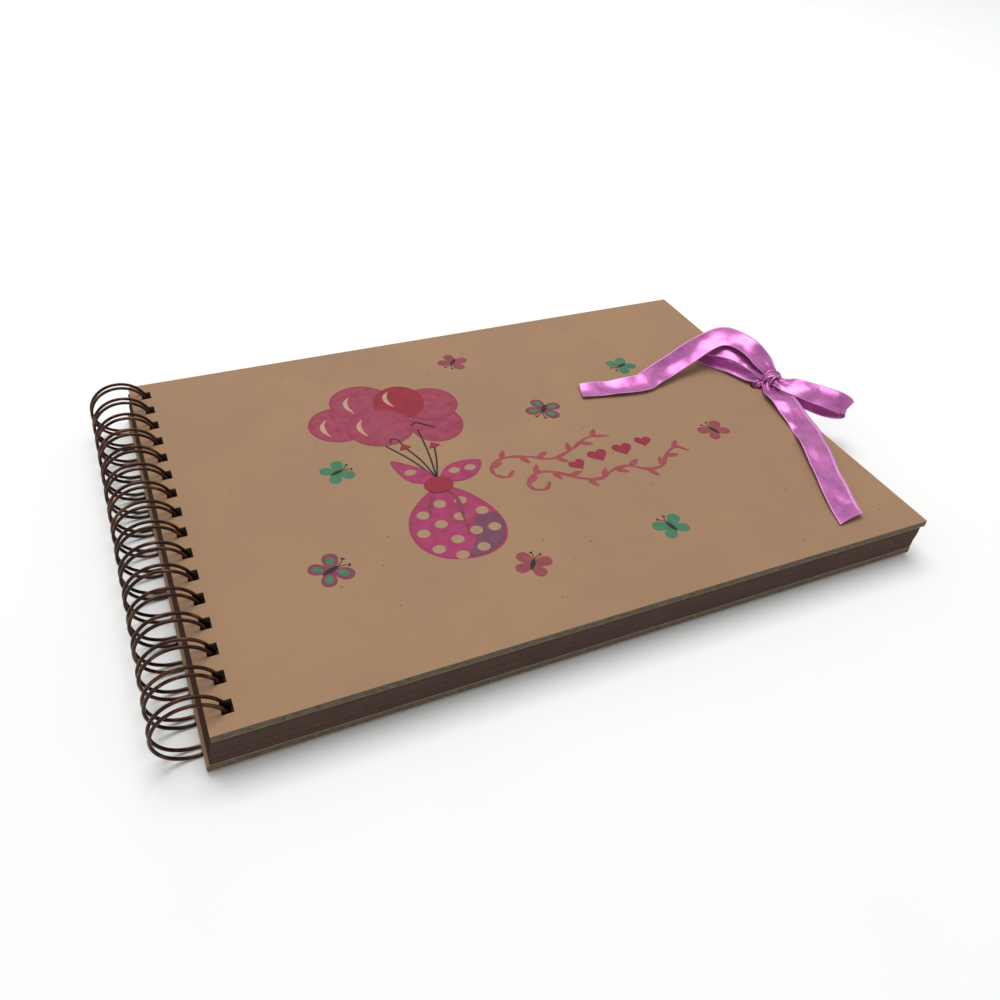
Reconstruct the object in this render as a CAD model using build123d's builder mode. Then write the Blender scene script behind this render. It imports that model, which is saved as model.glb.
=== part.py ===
from build123d import *
from math import asin, cos, degrees, radians, sin, sqrt, tan
import os

# Landscape scrapbook album, A4 covers, bound along its short left side with twin-loop wire
# and tied shut with a satin ribbon. It lies closed on its back cover.
# X runs from the spine to the fore-edge, Y along the spine, Z up, all in millimetres.
# The origin is on the surface it lies on, under the middle of the back cover.

# ---- covers ----
COVER_W = 297.0  # spine edge to fore-edge
COVER_D = 210.0  # along the spine
BOARD_T = 2.5  # grey board core
LINER_T = 0.25  # kraft paper glued on each side of the board

# ---- leaves ----
LEAF_COUNT = 30
LEAF_FORE_INSET = 1.5  # a leaf is this much shorter than the covers at the fore-edge
LEAF_SIDE_INSET = 0.2  # and this much at each long edge
LEAF_T = 0.3  # heavy card
LEAF_GAP = 0.05  # air between two leaves
FRONT_GAP = 0.5  # air under the front cover, which the leaves push up
LEAF_SETBACK = 1.6  # spine edge of the leaves from that of the back cover, if their holes allow

# ---- twin-loop wire ----
LOOP_PITCH = 12.7  # half an inch, the pitch of 2:1 wire
END_MARGIN = 9.0  # the least from the last loop's middle to the covers' corners
RING_D = 26.5  # outside of the closed loops
WIRE_D = 1.3
WIRE_CLEAR = 0.2  # the wire under the back cover to the cover that it lifts
TWIN_SPACING = 3.5  # between the two wires of a loop, centre to centre
LEG_BEND_R = 2.5  # where a loop straightens to pass down through the back cover
FOOT_BEND_R = 1.1  # where it turns to run flat under the margin
BASE_R = 1.2  # corners of the bends that join one loop to the next
BASE_SETBACK = 4.0  # those bends, from the down leg towards the spine edge
TIP_GAP = 0.8  # the closed loop's tips stop this far short of the bends

# ---- punched holes ----
HOLE_W = 4.0  # across the spine
HOLE_END_CLEAR = 0.45  # each wire of a loop to its hole's end, along the spine
HOLE_SIDE_CLEAR = 0.15  # the least from the wire to a leaf's hole, across the spine
HOLE_INSET = 7.0  # hole middle from the spine edge

# ---- ribbon ----
RIBBON_W = 10.0
RIBBON_T = 0.5
RIBBON_CLEAR = 0.3  # ribbon to anything it only lies beside
RIBBON_HOLE_D = 4.5
RIBBON_HOLE_INSET = 6.5  # from the fore-edge
RIBBON_HOLE_Y = 8.0  # from the middle of the album towards its far side
PLUG_D = 3.6  # ribbon gathered in its hole
KNOT_W = 8.0
KNOT_L = 9.0
KNOT_T = 6.5
KNOT_OUT = 1.5  # knot middle from the front cover's fore-edge, outwards
KNOT_BACK = 2.0  # knot middle from the ribbon hole, towards the near side
STRAP_CLEAR = 1.2  # ribbon round the fore-edge to the covers
STRIP_STEPS = 36  # flats that a curved ribbon is made of

# ---- sizes that follow ----
LEAF_W = COVER_W - LEAF_FORE_INSET
LEAF_D = COVER_D - 2 * LEAF_SIDE_INSET
LOOP_COUNT = int((COVER_D - 2 * END_MARGIN) / LOOP_PITCH) + 1
HOLE_L = TWIN_SPACING + WIRE_D + 2 * HOLE_END_CLEAR

# ---- heights ----
REST_GAP = WIRE_D + WIRE_CLEAR
COVER_T = BOARD_T + 2 * LINER_T
LEAF_PITCH = LEAF_T + LEAF_GAP
BACK_TOP = REST_GAP + COVER_T
FRONT_BOTTOM = BACK_TOP + LEAF_COUNT * LEAF_PITCH + FRONT_GAP
FRONT_TOP = FRONT_BOTTOM + COVER_T

# ---- ring, seen along the spine, with its middle as the hinge of every leaf ----
RING_R = (RING_D - WIRE_D) / 2
RING_Z = RING_D / 2
WIRE_Z = WIRE_D / 2


def ring_reach(height):
    """How far right of the ring's middle the wire is at a height."""
    return sqrt(RING_R**2 - (height - RING_Z) ** 2)


LEAVE_Z = BACK_TOP + LEAF_GAP + LEAF_T / 2  # the loop is round down to the last leaf
LEAVE_DIP = asin((RING_Z - LEAVE_Z) / RING_R)
LEG_REACH = ring_reach(LEAVE_Z) - LEG_BEND_R * (1 - cos(LEAVE_DIP))
BACK_REACH = (LEG_REACH + ring_reach(LEAVE_Z)) / 2
RING_X = HOLE_INSET - COVER_W / 2 - BACK_REACH


def spine_edge(height):
    """Where the spine edge of a leaf or cover lies, with its holes over the wire."""
    return RING_X + ring_reach(height) - HOLE_INSET


BACK_X = -COVER_W / 2
FRONT_X = spine_edge(FRONT_BOTTOM + COVER_T / 2)


def leaf_edge(height):
    """The leaves line up over the back cover as far as the play in their holes lets them."""
    slope = asin(abs(height - RING_Z) / RING_R)
    play = (HOLE_W - WIRE_D / cos(slope) - LEAF_T * tan(slope)) / 2 - HOLE_SIDE_CLEAR
    centred = spine_edge(height)
    return min(max(BACK_X + LEAF_SETBACK, centred - play), centred + play)


def punched_sheet(name, left, width, depth, bottom, thickness, ribbon_hole=False):
    """A flat sheet with the row of wire holes, and the hole for the ribbon if it has one."""
    with BuildPart() as sheet:
        with BuildSketch(Plane.XY.offset(bottom)):
            with Locations((left + width / 2, 0)):
                Rectangle(width, depth)
            with Locations((left + HOLE_INSET, 0)):
                with GridLocations(0, LOOP_PITCH, 1, LOOP_COUNT):
                    Rectangle(HOLE_W, HOLE_L, mode=Mode.SUBTRACT)
            if ribbon_hole:
                with Locations((left + width - RIBBON_HOLE_INSET, RIBBON_HOLE_Y)):
                    Circle(RIBBON_HOLE_D / 2, mode=Mode.SUBTRACT)
        extrude(amount=thickness)
    sheet.part.label = name
    export_step(sheet.part, f"parts/{name}.step")
    return sheet


def cover(name, left, bottom, outside_up):
    """Grey board with a kraft liner on each side. The ribbon is glued in under the inner one."""
    low_hole, high_hole = not outside_up, outside_up
    low, high = ("inner", "outer") if outside_up else ("outer", "inner")
    layers = (
        (f"{name}_{low}_liner", bottom, LINER_T, low_hole),
        (f"{name}_board", bottom + LINER_T, BOARD_T, True),
        (f"{name}_{high}_liner", bottom + LINER_T + BOARD_T, LINER_T, high_hole),
    )
    for layer, level, thickness, hole in layers:
        punched_sheet(layer, left, COVER_W, COVER_D, level, thickness, hole)


def leaves():
    """The card leaves, numbered from the front."""
    for number in range(1, LEAF_COUNT + 1):
        bottom = BACK_TOP + LEAF_GAP + (LEAF_COUNT - number) * LEAF_PITCH
        left = leaf_edge(bottom + LEAF_T / 2)
        punched_sheet(f"leaf_{number:02d}", left, LEAF_W, LEAF_D, bottom, LEAF_T)


def ring_point(angle, y):
    """A point of the loop's middle line, by its angle up from the fore-edge side."""
    a = radians(angle)
    return (RING_X + RING_R * cos(a), y, RING_Z + RING_R * sin(a))


def wire_leg(y):
    """Half a loop: from its foot under the margin, up through the holes and round to the tip."""
    dip = degrees(LEAVE_DIP)
    leg_x = RING_X + LEG_REACH
    leg_top = LEAVE_Z - LEG_BEND_R * sin(LEAVE_DIP)
    base_x = leg_x - BASE_SETBACK
    foot = (leg_x - FOOT_BEND_R, y, WIRE_Z)
    ankle = (leg_x, y, WIRE_Z + FOOT_BEND_R)
    turn = FOOT_BEND_R * sin(radians(45))
    half = LEAVE_DIP / 2
    knee = (leg_x + LEG_BEND_R * (1 - cos(half)), y, leg_top + LEG_BEND_R * sin(half))
    Line((base_x + BASE_R, y, WIRE_Z), foot)
    ThreePointArc(foot, (foot[0] + turn, y, ankle[2] - turn), ankle)
    Line(ankle, (leg_x, y, leg_top))
    ThreePointArc((leg_x, y, leg_top), knee, ring_point(-dip, y))
    ThreePointArc(ring_point(-dip, y), ring_point((270 - dip) / 2, y), ring_point(270, y))
    Line(ring_point(270, y), (base_x - TIP_GAP - WIRE_D - TWIN_SPACING / 2, y, WIRE_Z))


def wire_binding():
    """Sixteen twin loops, bent from one length of wire."""
    half = TWIN_SPACING / 2
    base_x = RING_X + LEG_REACH - BASE_SETBACK
    tip_x = base_x - TIP_GAP - WIRE_D
    between = LOOP_PITCH - TWIN_SPACING
    corner = BASE_R * (1 - cos(radians(45)))
    with BuildPart() as binding:
        for row in GridLocations(0, LOOP_PITCH, 1, LOOP_COUNT):
            y = row.position.Y
            with BuildLine() as loop:
                wire_leg(y - half)
                tip = [(tip_x - half, y - half), (tip_x, y), (tip_x - half, y + half)]
                ThreePointArc(*[(*point, WIRE_Z) for point in tip])
                wire_leg(y + half)
            start = Plane((base_x + BASE_R, y - half, WIRE_Z), x_dir=(0, 1, 0), z_dir=(1, 0, 0))
            with BuildSketch(start):
                Circle(WIRE_D / 2)
            sweep(path=loop.wire())
        for row in GridLocations(0, LOOP_PITCH, 1, LOOP_COUNT - 1):
            low, high = row.position.Y - between / 2, row.position.Y + between / 2
            with BuildLine() as bend:
                Line((base_x, low + BASE_R, WIRE_Z), (base_x, high - BASE_R, WIRE_Z))
                ThreePointArc(
                    (base_x + BASE_R, low, WIRE_Z),
                    (base_x + corner, low + corner, WIRE_Z),
                    (base_x, low + BASE_R, WIRE_Z),
                )
                ThreePointArc(
                    (base_x, high - BASE_R, WIRE_Z),
                    (base_x + corner, high - corner, WIRE_Z),
                    (base_x + BASE_R, high, WIRE_Z),
                )
            with BuildSketch(Plane((base_x + BASE_R, low, WIRE_Z), x_dir=(0, 1, 0), z_dir=(-1, 0, 0))):
                Circle(WIRE_D / 2)
            sweep(path=bend.wire())
    binding.part.label = "wire_binding"
    export_step(binding.part, "parts/wire_binding.step")


def ribbon_strip(name, points, sides):
    """A flat ribbon along a line of points, turning its width from one side vector to the next."""
    path = Edge.make_spline([Vector(*p) for p in points])
    with BuildPart() as strip:
        for first in range(STRIP_STEPS):
            for step in (first, first + 1):
                share = step / STRIP_STEPS
                ahead = path % share
                place = min(int(share * (len(sides) - 1)), len(sides) - 2)
                blend = share * (len(sides) - 1) - place
                side = Vector(*sides[place]) * (1 - blend) + Vector(*sides[place + 1]) * blend
                side = side - ahead * side.dot(ahead)
                with BuildSketch(Plane(path @ share, x_dir=side, z_dir=ahead)):
                    Rectangle(RIBBON_W, RIBBON_T)
            loft(ruled=True)
    strip.part.label = name
    export_step(strip.part, f"parts/{name}.step")


def on_cover(x, y, rise):
    """A point by its distance from the front cover's fore-edge, from mid-album, and its height."""
    return (FRONT_X + COVER_W + x, y, FRONT_TOP + rise)


def bow():
    """The knot beside the fore-edge, its two loops and its two tails."""
    knot_y = RIBBON_HOLE_Y - KNOT_BACK
    near, far = knot_y - KNOT_L / 2 - RIBBON_CLEAR, knot_y + KNOT_L / 2 + RIBBON_CLEAR
    with BuildPart() as knot:
        with Locations(on_cover(KNOT_OUT, knot_y, RIBBON_CLEAR + KNOT_T / 2)):
            Box(KNOT_W, KNOT_L, KNOT_T)
        fillet(knot.edges(), KNOT_T / 4)
    knot.part.label = "ribbon_knot"
    export_step(knot.part, "parts/ribbon_knot.step")
    far_loop = [(-1, far, 5.4), (-3, far + 7, 8.6), (-9, far + 17, 10.2), (-15, far + 25, 9.2)]
    far_loop += [(-18.6, far + 29.5, 5.6), (-16, far + 25.5, 2), (-9, far + 14, 1.4), (-3, far, 2)]
    loop_sides = [(1, 0, 0), (0.85, 0.5, 0), (1, 0, 0)]
    ribbon_strip("ribbon_far_loop", [on_cover(*p) for p in far_loop], loop_sides)
    near_loop = [(2.5, near - 0.2, 5), (4.5, near - 6, 6.2), (12, near - 16, 5.8), (20, near - 25, 4.6)]
    near_loop += [(22.8, near - 28.5, 1.8), (20, near - 25, -0.8), (12, near - 15, -1)]
    near_loop += [(4.5, near - 6, 0.6), (3.5, near - 0.2, 1.4)]
    ribbon_strip("ribbon_near_loop", [on_cover(*p) for p in near_loop], loop_sides)
    far_tail = [(1, far, 7.5), (-2, far + 12, 13), (-9, far + 23, 15), (-20, far + 26, 11.5)]
    far_tail += [(-36, far + 24, 7), (-54, far + 20, 3.2), (-66, far + 19, 2), (-90, far + 27, 1)]
    turns = [(1, 0, 0), (0.9, 0.4, -0.1), (0.5, 0.8, -0.4), (0.2, 0.9, -0.3), (0, 1, 0), (0, 1, 0)]
    ribbon_strip("ribbon_far_tail", [on_cover(*p) for p in far_tail], turns)
    near_tail = [(-2.5, near, 3), (-6, near - 16, 2.4), (-8, near - 32, 1.6), (-16, near - 48, 2.2)]
    near_tail += [(-26, near - 70, 1.2), (-33, near - 91, 0.8)]
    ribbon_strip("ribbon_near_tail", [on_cover(*p) for p in near_tail], [(1, 0, 0), (1, -0.4, 0)])


def ribbon_straps():
    """The ribbon's two ends, each out of its cover's hole and on to the knot."""
    hole_x = FRONT_X + COVER_W - RIBBON_HOLE_INSET
    knot_x = FRONT_X + COVER_W + KNOT_OUT - KNOT_W / 2
    with BuildPart() as front:
        with BuildSketch(Plane.XY.offset(FRONT_BOTTOM + LINER_T)):
            with Locations((hole_x, RIBBON_HOLE_Y)):
                Circle(PLUG_D / 2)
        extrude(amount=BOARD_T + LINER_T + RIBBON_CLEAR + RIBBON_T)
        with BuildSketch(Plane.XY.offset(FRONT_TOP + RIBBON_CLEAR)):
            with Locations(((hole_x + knot_x - RIBBON_CLEAR) / 2, RIBBON_HOLE_Y)):
                Rectangle(knot_x - RIBBON_CLEAR - hole_x, PLUG_D)
        extrude(amount=RIBBON_T)
    front.part.label = "ribbon_front_strap"
    export_step(front.part, "parts/ribbon_front_strap.step")
    low_x = BACK_X + COVER_W - RIBBON_HOLE_INSET
    out_low = BACK_X + COVER_W + STRAP_CLEAR
    out_high = FRONT_X + COVER_W + STRAP_CLEAR
    top = FRONT_TOP + RIBBON_CLEAR / 3
    under = REST_GAP - RIBBON_CLEAR
    with BuildPart() as back:
        with BuildSketch(Plane.XY.offset(under - RIBBON_T)):
            with Locations((low_x, RIBBON_HOLE_Y)):
                Circle(PLUG_D / 2)
        extrude(amount=RIBBON_T + RIBBON_CLEAR + LINER_T + BOARD_T)
        with BuildSketch(Plane.XZ.offset(-RIBBON_HOLE_Y)):
            with BuildLine():
                Polyline(
                    (low_x, under - RIBBON_T),
                    (out_low + RIBBON_T, under - RIBBON_T),
                    (out_high + RIBBON_T, top),
                    (out_high, top),
                    (out_low, under),
                    (low_x, under),
                    close=True,
                )
            make_face()
        extrude(amount=KNOT_L / 2, both=True)
    back.part.label = "ribbon_back_strap"
    export_step(back.part, "parts/ribbon_back_strap.step")


os.makedirs("parts", exist_ok=True)
cover("back_cover", BACK_X, REST_GAP, outside_up=False)
cover("front_cover", FRONT_X, FRONT_BOTTOM, outside_up=True)
leaves()
wire_binding()
bow()
ribbon_straps()
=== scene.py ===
import logging
import math
import random
from dataclasses import dataclass, field
from enum import Enum
from typing import Any, Callable, Sequence

import bpy
from mathutils import Matrix, Vector, noise


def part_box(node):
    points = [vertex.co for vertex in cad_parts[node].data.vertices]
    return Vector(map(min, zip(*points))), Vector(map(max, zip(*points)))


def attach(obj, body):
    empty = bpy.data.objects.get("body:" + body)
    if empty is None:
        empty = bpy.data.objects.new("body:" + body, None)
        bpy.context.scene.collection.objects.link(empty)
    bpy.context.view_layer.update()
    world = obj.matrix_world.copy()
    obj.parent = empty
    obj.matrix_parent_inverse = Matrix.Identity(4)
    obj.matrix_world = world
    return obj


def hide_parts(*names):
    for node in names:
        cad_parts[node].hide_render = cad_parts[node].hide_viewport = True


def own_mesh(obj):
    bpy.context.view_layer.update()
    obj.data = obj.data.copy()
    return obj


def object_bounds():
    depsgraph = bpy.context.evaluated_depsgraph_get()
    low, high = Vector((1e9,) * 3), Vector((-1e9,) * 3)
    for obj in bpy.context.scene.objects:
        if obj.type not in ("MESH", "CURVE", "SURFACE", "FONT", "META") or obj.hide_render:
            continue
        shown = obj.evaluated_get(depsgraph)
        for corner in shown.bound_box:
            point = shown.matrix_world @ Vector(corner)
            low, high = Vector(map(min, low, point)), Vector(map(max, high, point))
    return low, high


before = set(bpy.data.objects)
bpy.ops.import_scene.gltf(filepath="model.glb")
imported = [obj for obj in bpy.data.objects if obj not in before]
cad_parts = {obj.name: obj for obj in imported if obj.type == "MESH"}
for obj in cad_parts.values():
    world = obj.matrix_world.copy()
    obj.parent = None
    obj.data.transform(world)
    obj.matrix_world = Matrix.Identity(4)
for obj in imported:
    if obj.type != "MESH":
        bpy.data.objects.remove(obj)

CAD_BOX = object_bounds()
MM = 0.001
LOG = logging.getLogger("scrapbook_album")

Point2 = tuple[float, float]
Point3 = tuple[float, float, float]


# ---------------------------------------------------------------- small tools


def linear(hex_colour: str) -> tuple[float, float, float, float]:
    """Turn an sRGB hex colour into the linear colour that shaders take.

    Args:
        hex_colour: A colour such as "#A58668".

    Returns:
        Red, green, blue and alpha, in linear light.
    """
    parts = [int(hex_colour[i : i + 2], 16) / 255 for i in (1, 3, 5)]
    knee, foot, slope, power = 0.04045, 0.055, 12.92, 2.4
    light = [c / slope if c <= knee else ((c + foot) / (1 + foot)) ** power for c in parts]
    return (light[0], light[1], light[2], 1.0)


def per_metre(size_mm: float) -> float:
    """The texture scale whose cells are this many millimetres across."""
    return 1 / (size_mm * MM)


def feed(tree: Any, node: Any, inputs: dict[Any, Any]) -> None:
    """Set or link a shader node's inputs.

    Args:
        tree: The node tree.
        node: The node to feed.
        inputs: Values, output sockets, or nodes that give their first used output, by input name
            or place.
    """
    for key, value in inputs.items():
        if isinstance(value, bpy.types.Node):
            value = next(socket for socket in value.outputs if socket.enabled)
        if isinstance(value, bpy.types.NodeSocket):
            tree.links.new(value, node.inputs[key])
        else:
            node.inputs[key].default_value = value


def add_node(tree: Any, kind: str, inputs: dict[Any, Any] | None = None, **settings: Any) -> Any:
    """Add a shader node, set its properties, and feed its inputs.

    Args:
        tree: The node tree to add to.
        kind: The node's type name, without its "ShaderNode".
        inputs: As in feed.
        settings: The node's own properties.

    Returns:
        The new node.
    """
    node = tree.nodes.new(f"ShaderNode{kind}")
    for name, value in settings.items():
        setattr(node, name, value)
    feed(tree, node, inputs or {})
    return node


def smooth_step(value: float) -> float:
    """Ease from 0 to 1 as the value goes from 0 to 1, flat at both ends."""
    t = min(max(value, 0.0), 1.0)
    return t * t * (3 - 2 * t)


def new_object(
    name: str,
    points: Sequence[Vector],
    faces: Sequence[Sequence[int]],
    smooth: bool = True,
    uvs: Sequence[Point2] | None = None,
) -> bpy.types.Object:
    """Make a mesh object from points and faces, with its normals outwards.

    Args:
        name: The piece's name.
        points: The points, in metres.
        faces: Each face as places in points.
        smooth: Whether the faces are shaded smooth.
        uvs: One texture coordinate for each point.

    Returns:
        The object, linked to the scene.
    """
    mesh = bpy.data.meshes.new(name)
    mesh.from_pydata([tuple(p) for p in points], [], [tuple(f) for f in faces])
    if uvs is not None:
        layer = mesh.uv_layers.new(name="UVMap")
        for loop in mesh.loops:
            layer.data[loop.index].uv = uvs[loop.vertex_index]
    mesh.polygons.foreach_set("use_smooth", [smooth] * len(mesh.polygons))
    mesh.update()
    obj = bpy.data.objects.new(name, mesh)
    bpy.context.scene.collection.objects.link(obj)
    return obj


# ---------------------------------------------------------------- finishes


@dataclass(frozen=True)
class Finish:
    """What a surface is made of, and how it was made."""

    label: str = "plain"
    roughness: float = 0.8
    ior: float = 1.5

    def material(self) -> bpy.types.Material:
        """The finish's material, made once and then shared."""
        found = bpy.data.materials.get(self.label)
        if found is not None:
            return found
        material = bpy.data.materials.new(self.label)
        material.use_nodes = True
        tree = material.node_tree
        self.shade(tree, tree.nodes["Principled BSDF"])
        return material

    def shade(self, tree: Any, shader: Any) -> None:
        """Fill in the node tree.

        Args:
            tree: The material's node tree.
            shader: Its surface shader.
        """
        raise NotImplementedError

    def dress(self, obj: bpy.types.Object) -> None:
        """Put the finish on an object, in place of what it has."""
        obj.data.materials.clear()
        obj.data.materials.append(self.material())


@dataclass(frozen=True)
class KraftPaper(Finish):
    """Unbleached kraft paper, machine made and calendered.

    The eye sees a warm tan with slow pinkish clouds, dark fibre flecks and a dull, faintly
    pebbled face.
    """

    label: str = "kraft_paper_machine_made"
    roughness: float = 0.78
    pulp: str = "#9D7A5B"
    cloud: str = "#977659"
    fibre: str = "#866A52"
    fleck: str = "#563C30"
    cloud_mm: float = 38.0
    fibre_mm: float = 0.6
    fibre_stretch: float = 0.6
    fleck_spacing_mm: float = 9.0
    fleck_radius_mm: float = 0.42
    pebble_mm: float = 0.05

    def shade(self, tree: Any, shader: Any) -> None:
        """Clouds, then fibres, then flecks, over a pebbled bump."""
        where = add_node(tree, "TexCoord").outputs["Object"]
        clouds = add_node(tree, "TexNoise",
                          {"Vector": where, "Scale": per_metre(self.cloud_mm), "Detail": 4.0})
        along = add_node(tree, "Mapping",
                         {"Vector": where, "Scale": (self.fibre_stretch, 1.0, 1.0)})
        fibres = add_node(tree, "TexNoise",
                          {"Vector": along, "Scale": per_metre(self.fibre_mm), "Detail": 3.0})
        flecks = add_node(tree, "TexVoronoi",
                          {"Vector": along, "Scale": per_metre(self.fleck_spacing_mm)})
        radius = self.fleck_radius_mm / self.fleck_spacing_mm
        in_fleck = add_node(tree, "MapRange",
                            {"Value": flecks, "From Min": radius * 0.6, "From Max": radius,
                             "To Min": 0.75, "To Max": 0.0})
        cloudy = add_node(tree, "MapRange", {"Value": clouds, "From Min": 0.35, "From Max": 0.65})
        body = add_node(tree, "Mix", {0: cloudy, 6: linear(self.pulp), 7: linear(self.cloud)},
                        data_type="RGBA")
        streak = add_node(tree, "MapRange",
                          {"Value": fibres, "From Min": 0.52, "From Max": 0.85, "To Max": 0.45})
        fibred = add_node(tree, "Mix", {0: streak, 6: body, 7: linear(self.fibre)},
                          data_type="RGBA")
        flecked = add_node(tree, "Mix", {0: in_fleck, 6: fibred, 7: linear(self.fleck)},
                           data_type="RGBA")
        bump = add_node(tree, "Bump",
                        {"Height": fibres, "Strength": 0.2, "Distance": self.pebble_mm * MM})
        feed(tree, shader, {"Base Color": flecked, "Normal": bump,
                            "Roughness": self.roughness, "IOR": self.ior})


@dataclass(frozen=True)
class GreyBoard(Finish):
    """Grey binder's board, laid up in plies, pressed and guillotined.

    The eye sees an olive grey cut edge with fine level plies and a few pale chips.
    """

    label: str = "grey_board_pressed"
    roughness: float = 0.9
    ply: str = "#675E4E"
    seam: str = "#4D4539"
    chip: str = "#7C7363"
    ply_mm: float = 0.3
    chip_mm: float = 2.2
    step_mm: float = 0.1

    def shade(self, tree: Any, shader: Any) -> None:
        """Level plies and scattered chips."""
        where = add_node(tree, "TexCoord").outputs["Object"]
        spread = self.ply_mm / self.chip_mm
        flat = add_node(tree, "Mapping", {"Vector": where, "Scale": (spread, spread, 1.0)})
        plies = add_node(tree, "TexNoise",
                         {"Vector": flat, "Scale": per_metre(self.ply_mm), "Detail": 2.0})
        chips = add_node(tree, "TexNoise",
                         {"Vector": where, "Scale": per_metre(self.chip_mm), "Detail": 3.0})
        seam = add_node(tree, "MapRange", {"Value": plies, "From Min": 0.4, "From Max": 0.62})
        body = add_node(tree, "Mix", {0: seam, 6: linear(self.seam), 7: linear(self.ply)},
                        data_type="RGBA")
        pale = add_node(tree, "MapRange",
                        {"Value": chips, "From Min": 0.6, "From Max": 0.75, "To Max": 0.6})
        chipped = add_node(tree, "Mix", {0: pale, 6: body, 7: linear(self.chip)},
                           data_type="RGBA")
        bump = add_node(tree, "Bump",
                        {"Height": plies, "Strength": 0.5, "Distance": self.step_mm * MM})
        feed(tree, shader, {"Base Color": chipped, "Normal": bump,
                            "Roughness": self.roughness, "IOR": self.ior})


@dataclass(frozen=True)
class DyedCard(Finish):
    """Album card, dyed in the pulp and guillotined.

    The eye sees a dull chocolate brown, each leaf a shade off its neighbour, with short
    felt-side fibres.
    """

    label: str = "brown_card_dyed"
    roughness: float = 0.85
    dye: str = "#4E362B"
    deep: str = "#422D23"
    fibre_mm: float = 0.7
    mottle_mm: float = 14.0
    nap_mm: float = 0.06

    def shade(self, tree: Any, shader: Any) -> None:
        """A slow mottle under short fibres."""
        where = add_node(tree, "TexCoord").outputs["Object"]
        mottle, fibres = (
            add_node(tree, "TexNoise",
                     {"Vector": where, "Scale": per_metre(size), "Detail": detail})
            for size, detail in ((self.mottle_mm, 3.0), (self.fibre_mm, 2.0)))
        both = add_node(tree, "Math", {0: mottle, 1: fibres}, operation="MULTIPLY")
        share = add_node(tree, "MapRange", {"Value": both, "From Min": 0.15, "From Max": 0.4})
        body = add_node(tree, "Mix", {0: share, 6: linear(self.deep), 7: linear(self.dye)},
                        data_type="RGBA")
        bump = add_node(tree, "Bump",
                        {"Height": fibres, "Strength": 0.3, "Distance": self.nap_mm * MM})
        feed(tree, shader, {"Base Color": body, "Normal": bump,
                            "Roughness": self.roughness, "IOR": self.ior})


@dataclass(frozen=True)
class CoatedWire(Finish):
    """Steel binding wire with a bronze metallic coat, drawn and formed.

    The eye sees a dark brown, nearly black wire with narrow warm glints, and slow patches of a
    lighter warm brown that stand for rubs and are partly painted glints.
    """

    label: str = "bronze_coated_steel_wire"
    roughness: float = 0.22
    rubbed_roughness: float = 0.42
    metallic: float = 0.85
    coat: str = "#3E2922"
    rub_and_glint: str = "#7E5238"
    rub_and_glint_mm: float = 5.0

    def shade(self, tree: Any, shader: Any) -> None:
        """An even coat with slow patches, partly rubs and partly painted glints, lighter and
        rougher.
        """
        where = add_node(tree, "TexCoord").outputs["Object"]
        rub_and_glint_patches = add_node(tree, "TexNoise",
                        {"Vector": where, "Scale": per_metre(self.rub_and_glint_mm), "Detail": 3.0})
        share = add_node(tree, "MapRange", {"Value": rub_and_glint_patches, "From Min": 0.5, "From Max": 0.75})
        # Partly painted highlight: the lighter warm brown in the patches stands in for glints as
        # well as rubs.
        colour = add_node(tree, "Mix", {0: share, 6: linear(self.coat), 7: linear(self.rub_and_glint)},
                          data_type="RGBA")
        rough = add_node(tree, "MapRange", {"Value": rub_and_glint_patches, "To Min": self.roughness,
                                            "To Max": self.rubbed_roughness})
        feed(tree, shader, {"Base Color": colour, "Roughness": rough, "Metallic": self.metallic})


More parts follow.
